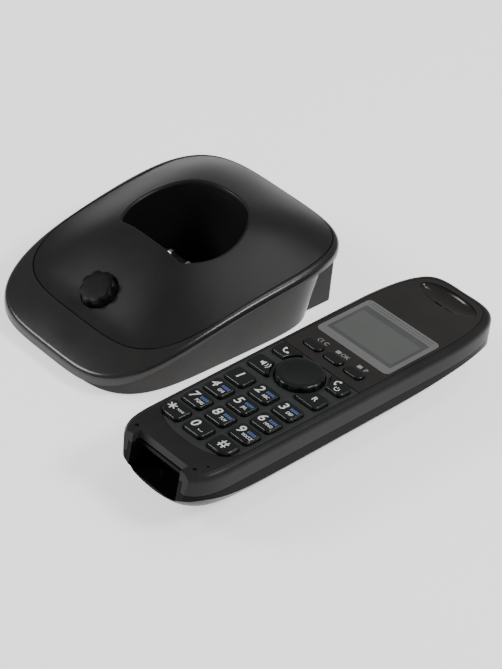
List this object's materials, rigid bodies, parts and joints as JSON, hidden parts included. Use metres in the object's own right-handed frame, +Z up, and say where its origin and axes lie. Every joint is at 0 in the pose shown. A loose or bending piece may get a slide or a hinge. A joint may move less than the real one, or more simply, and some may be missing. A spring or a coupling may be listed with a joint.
{
  "type": "cordless telephone with charging base",
  "caption": "Domed charging base with a leaning cradle well and a locator button, beside a slim cordless handset lying face up with display, keypad and back battery cover.",
  "frame": {"origin": "centre of the set's bounding box, on the table plane", "axes": "+Z up from the table, +Y from the front of the base to its jacks, +X from the base towards the handset"},
  "size_m": [0.154, 0.156, 0.0399],
  "materials": {
    "lid_black": "fine satin texture",
    "rim_grey": "semi-gloss",
    "housing_gloss": "gloss",
    "block_grey": "matt",
    "foot_rubber": "matt",
    "screw_steel": "zinc plated",
    "well_black": "satin",
    "switch_black": "matt",
    "board_green": "lacquered",
    "tin_plate": "tinned",
    "jack_black": "satin",
    "contact_gold": "plated",
    "contact_nickel": "nickel plated",
    "button_black": "satin",
    "shell_grey": "semi-gloss",
    "shell_black": "gloss",
    "panel_charcoal": "satin",
    "panel_gloss": "gloss",
    "window_grey": "clear with a grey border",
    "lcd_grey": "unlit display",
    "light_guide": "frosted",
    "mat_rubber": "silicone",
    "speaker_steel": "plain",
    "cell_sleeve": "shrink sleeve",
    "key_black": "gloss"
  },
  "bodies": {
    "base": {"base_lid": "lid_black", "base_rim_housing": "rim_grey", "base_lower_housing": "housing_gloss", "base_jack_block": "block_grey", "base_feet": "foot_rubber", "base_screws": "screw_steel", "cradle_cup": "well_black", "cradle_contact_holder": "well_black", "locator_switch": "switch_black", "locator_switch_board": "board_green", "base_pcb": "board_green", "base_antenna": "tin_plate", "line_jack": "jack_black", "line_jack_contacts": "contact_gold", "dc_jack": "jack_black", "dc_jack_pin": "contact_gold"},
    "locator_button": {"locator_button": "button_black"},
    "cradle_contact_left": {"cradle_contact_left": "contact_nickel"},
    "cradle_contact_right": {"cradle_contact_right": "contact_nickel"},
    "handset": {"handset_front_shell": "shell_grey", "handset_back_shell": "shell_black", "keypad_panel": "panel_charcoal", "display_panel": "panel_gloss", "display_window": "window_grey", "lcd_module": "lcd_grey", "lcd_backlight": "light_guide", "keypad_mat": "mat_rubber", "handset_pcb": "board_green", "handset_antenna": "tin_plate", "earpiece_speaker": "speaker_steel", "ringer_speaker": "speaker_steel", "microphone": "speaker_steel", "charge_pocket": "shell_black", "charge_contacts": "contact_nickel", "battery_cell_left": "cell_sleeve", "battery_cell_right": "cell_sleeve", "battery_springs": "contact_nickel", "battery_tabs": "contact_nickel", "handset_screws": "screw_steel"},
    "battery_cover": {"battery_cover": "shell_black"},
    "nav_key": {"nav_key": "key_black"},
    "key_star": {"key_star": "key_black"},
    "key_0": {"key_0": "key_black"},
    "key_hash": {"key_hash": "key_black"},
    "key_7": {"key_7": "key_black"},
    "key_8": {"key_8": "key_black"},
    "key_9": {"key_9": "key_black"},
    "key_4": {"key_4": "key_black"},
    "key_5": {"key_5": "key_black"},
    "key_6": {"key_6": "key_black"},
    "key_1": {"key_1": "key_black"},
    "key_2": {"key_2": "key_black"},
    "key_3": {"key_3": "key_black"},
    "key_talk": {"key_talk": "key_black"},
    "key_off": {"key_off": "key_black"},
    "key_speaker": {"key_speaker": "key_black"},
    "key_recall": {"key_recall": "key_black"},
    "key_soft_left": {"key_soft_left": "key_black"},
    "key_soft_middle": {"key_soft_middle": "key_black"},
    "key_soft_right": {"key_soft_right": "key_black"}
  },
  "joints": [
    {"name": "handset_lift", "type": "slide", "parent": "base", "child": "handset", "axis": [0, 0, 1], "range_m": [0, 0.12]},
    {"name": "locator_button_press", "type": "slide", "parent": "base", "child": "locator_button", "axis": [0, 0.5596, -0.8288], "range_m": [0, 0.0006], "stiffness_N_per_m": 900},
    {"name": "cradle_contact_left_press", "type": "slide", "parent": "base", "child": "cradle_contact_left", "axis": [0, -0.2079, -0.9781], "range_m": [0, 0.0015], "stiffness_N_per_m": 400},
    {"name": "cradle_contact_right_press", "type": "slide", "parent": "base", "child": "cradle_contact_right", "axis": [0, -0.2079, -0.9781], "range_m": [0, 0.0015], "stiffness_N_per_m": 400},
    {"name": "battery_cover_off", "type": "slide", "parent": "handset", "child": "battery_cover", "axis": [0, 0, -1], "range_m": [0, 0.04]},
    {"name": "nav_key_press", "type": "slide", "parent": "handset", "child": "nav_key", "axis": [0, 0, -1], "range_m": [0, 0.0005], "stiffness_N_per_m": 900},
    {"name": "key_star_press", "type": "slide", "parent": "handset", "child": "key_star", "axis": [0, 0, -1], "range_m": [0, 0.0005], "stiffness_N_per_m": 900},
    {"name": "key_0_press", "type": "slide", "parent": "handset", "child": "key_0", "axis": [0, 0, -1], "range_m": [0, 0.0005], "stiffness_N_per_m": 900},
    {"name": "key_hash_press", "type": "slide", "parent": "handset", "child": "key_hash", "axis": [0, 0, -1], "range_m": [0, 0.0005], "stiffness_N_per_m": 900},
    {"name": "key_7_press", "type": "slide", "parent": "handset", "child": "key_7", "axis": [0, 0, -1], "range_m": [0, 0.0005], "stiffness_N_per_m": 900},
    {"name": "key_8_press", "type": "slide", "parent": "handset", "child": "key_8", "axis": [0, 0, -1], "range_m": [0, 0.0005], "stiffness_N_per_m": 900},
    {"name": "key_9_press", "type": "slide", "parent": "handset", "child": "key_9", "axis": [0, 0, -1], "range_m": [0, 0.0005], "stiffness_N_per_m": 900},
    {"name": "key_4_press", "type": "slide", "parent": "handset", "child": "key_4", "axis": [0, 0, -1], "range_m": [0, 0.0005], "stiffness_N_per_m": 900},
    {"name": "key_5_press", "type": "slide", "parent": "handset", "child": "key_5", "axis": [0, 0, -1], "range_m": [0, 0.0005], "stiffness_N_per_m": 900},
    {"name": "key_6_press", "type": "slide", "parent": "handset", "child": "key_6", "axis": [0, 0, -1], "range_m": [0, 0.0005], "stiffness_N_per_m": 900},
    {"name": "key_1_press", "type": "slide", "parent": "handset", "child": "key_1", "axis": [0, 0, -1], "range_m": [0, 0.0005], "stiffness_N_per_m": 900},
    {"name": "key_2_press", "type": "slide", "parent": "handset", "child": "key_2", "axis": [0, 0, -1], "range_m": [0, 0.0005], "stiffness_N_per_m": 900},
    {"name": "key_3_press", "type": "slide", "parent": "handset", "child": "key_3", "axis": [0, 0, -1], "range_m": [0, 0.0005], "stiffness_N_per_m": 900},
    {"name": "key_talk_press", "type": "slide", "parent": "handset", "child": "key_talk", "axis": [0, 0, -1], "range_m": [0, 0.0005], "stiffness_N_per_m": 900},
    {"name": "key_off_press", "type": "slide", "parent": "handset", "child": "key_off", "axis": [0, 0, -1], "range_m": [0, 0.0005], "stiffness_N_per_m": 900},
    {"name": "key_speaker_press", "type": "slide", "parent": "handset", "child": "key_speaker", "axis": [0, 0, -1], "range_m": [0, 0.0005], "stiffness_N_per_m": 900},
    {"name": "key_recall_press", "type": "slide", "parent": "handset", "child": "key_recall", "axis": [0, 0, -1], "range_m": [0, 0.0005], "stiffness_N_per_m": 900},
    {"name": "key_soft_left_press", "type": "slide", "parent": "handset", "child": "key_soft_left", "axis": [0, 0, -1], "range_m": [0, 0.0005], "stiffness_N_per_m": 900},
    {"name": "key_soft_middle_press", "type": "slide", "parent": "handset", "child": "key_soft_middle", "axis": [0, 0, -1], "range_m": [0, 0.0005], "stiffness_N_per_m": 900},
    {"name": "key_soft_right_press", "type": "slide", "parent": "handset", "child": "key_soft_right", "axis": [0, 0, -1], "range_m": [0, 0.0005], "stiffness_N_per_m": 900}
  ]
}
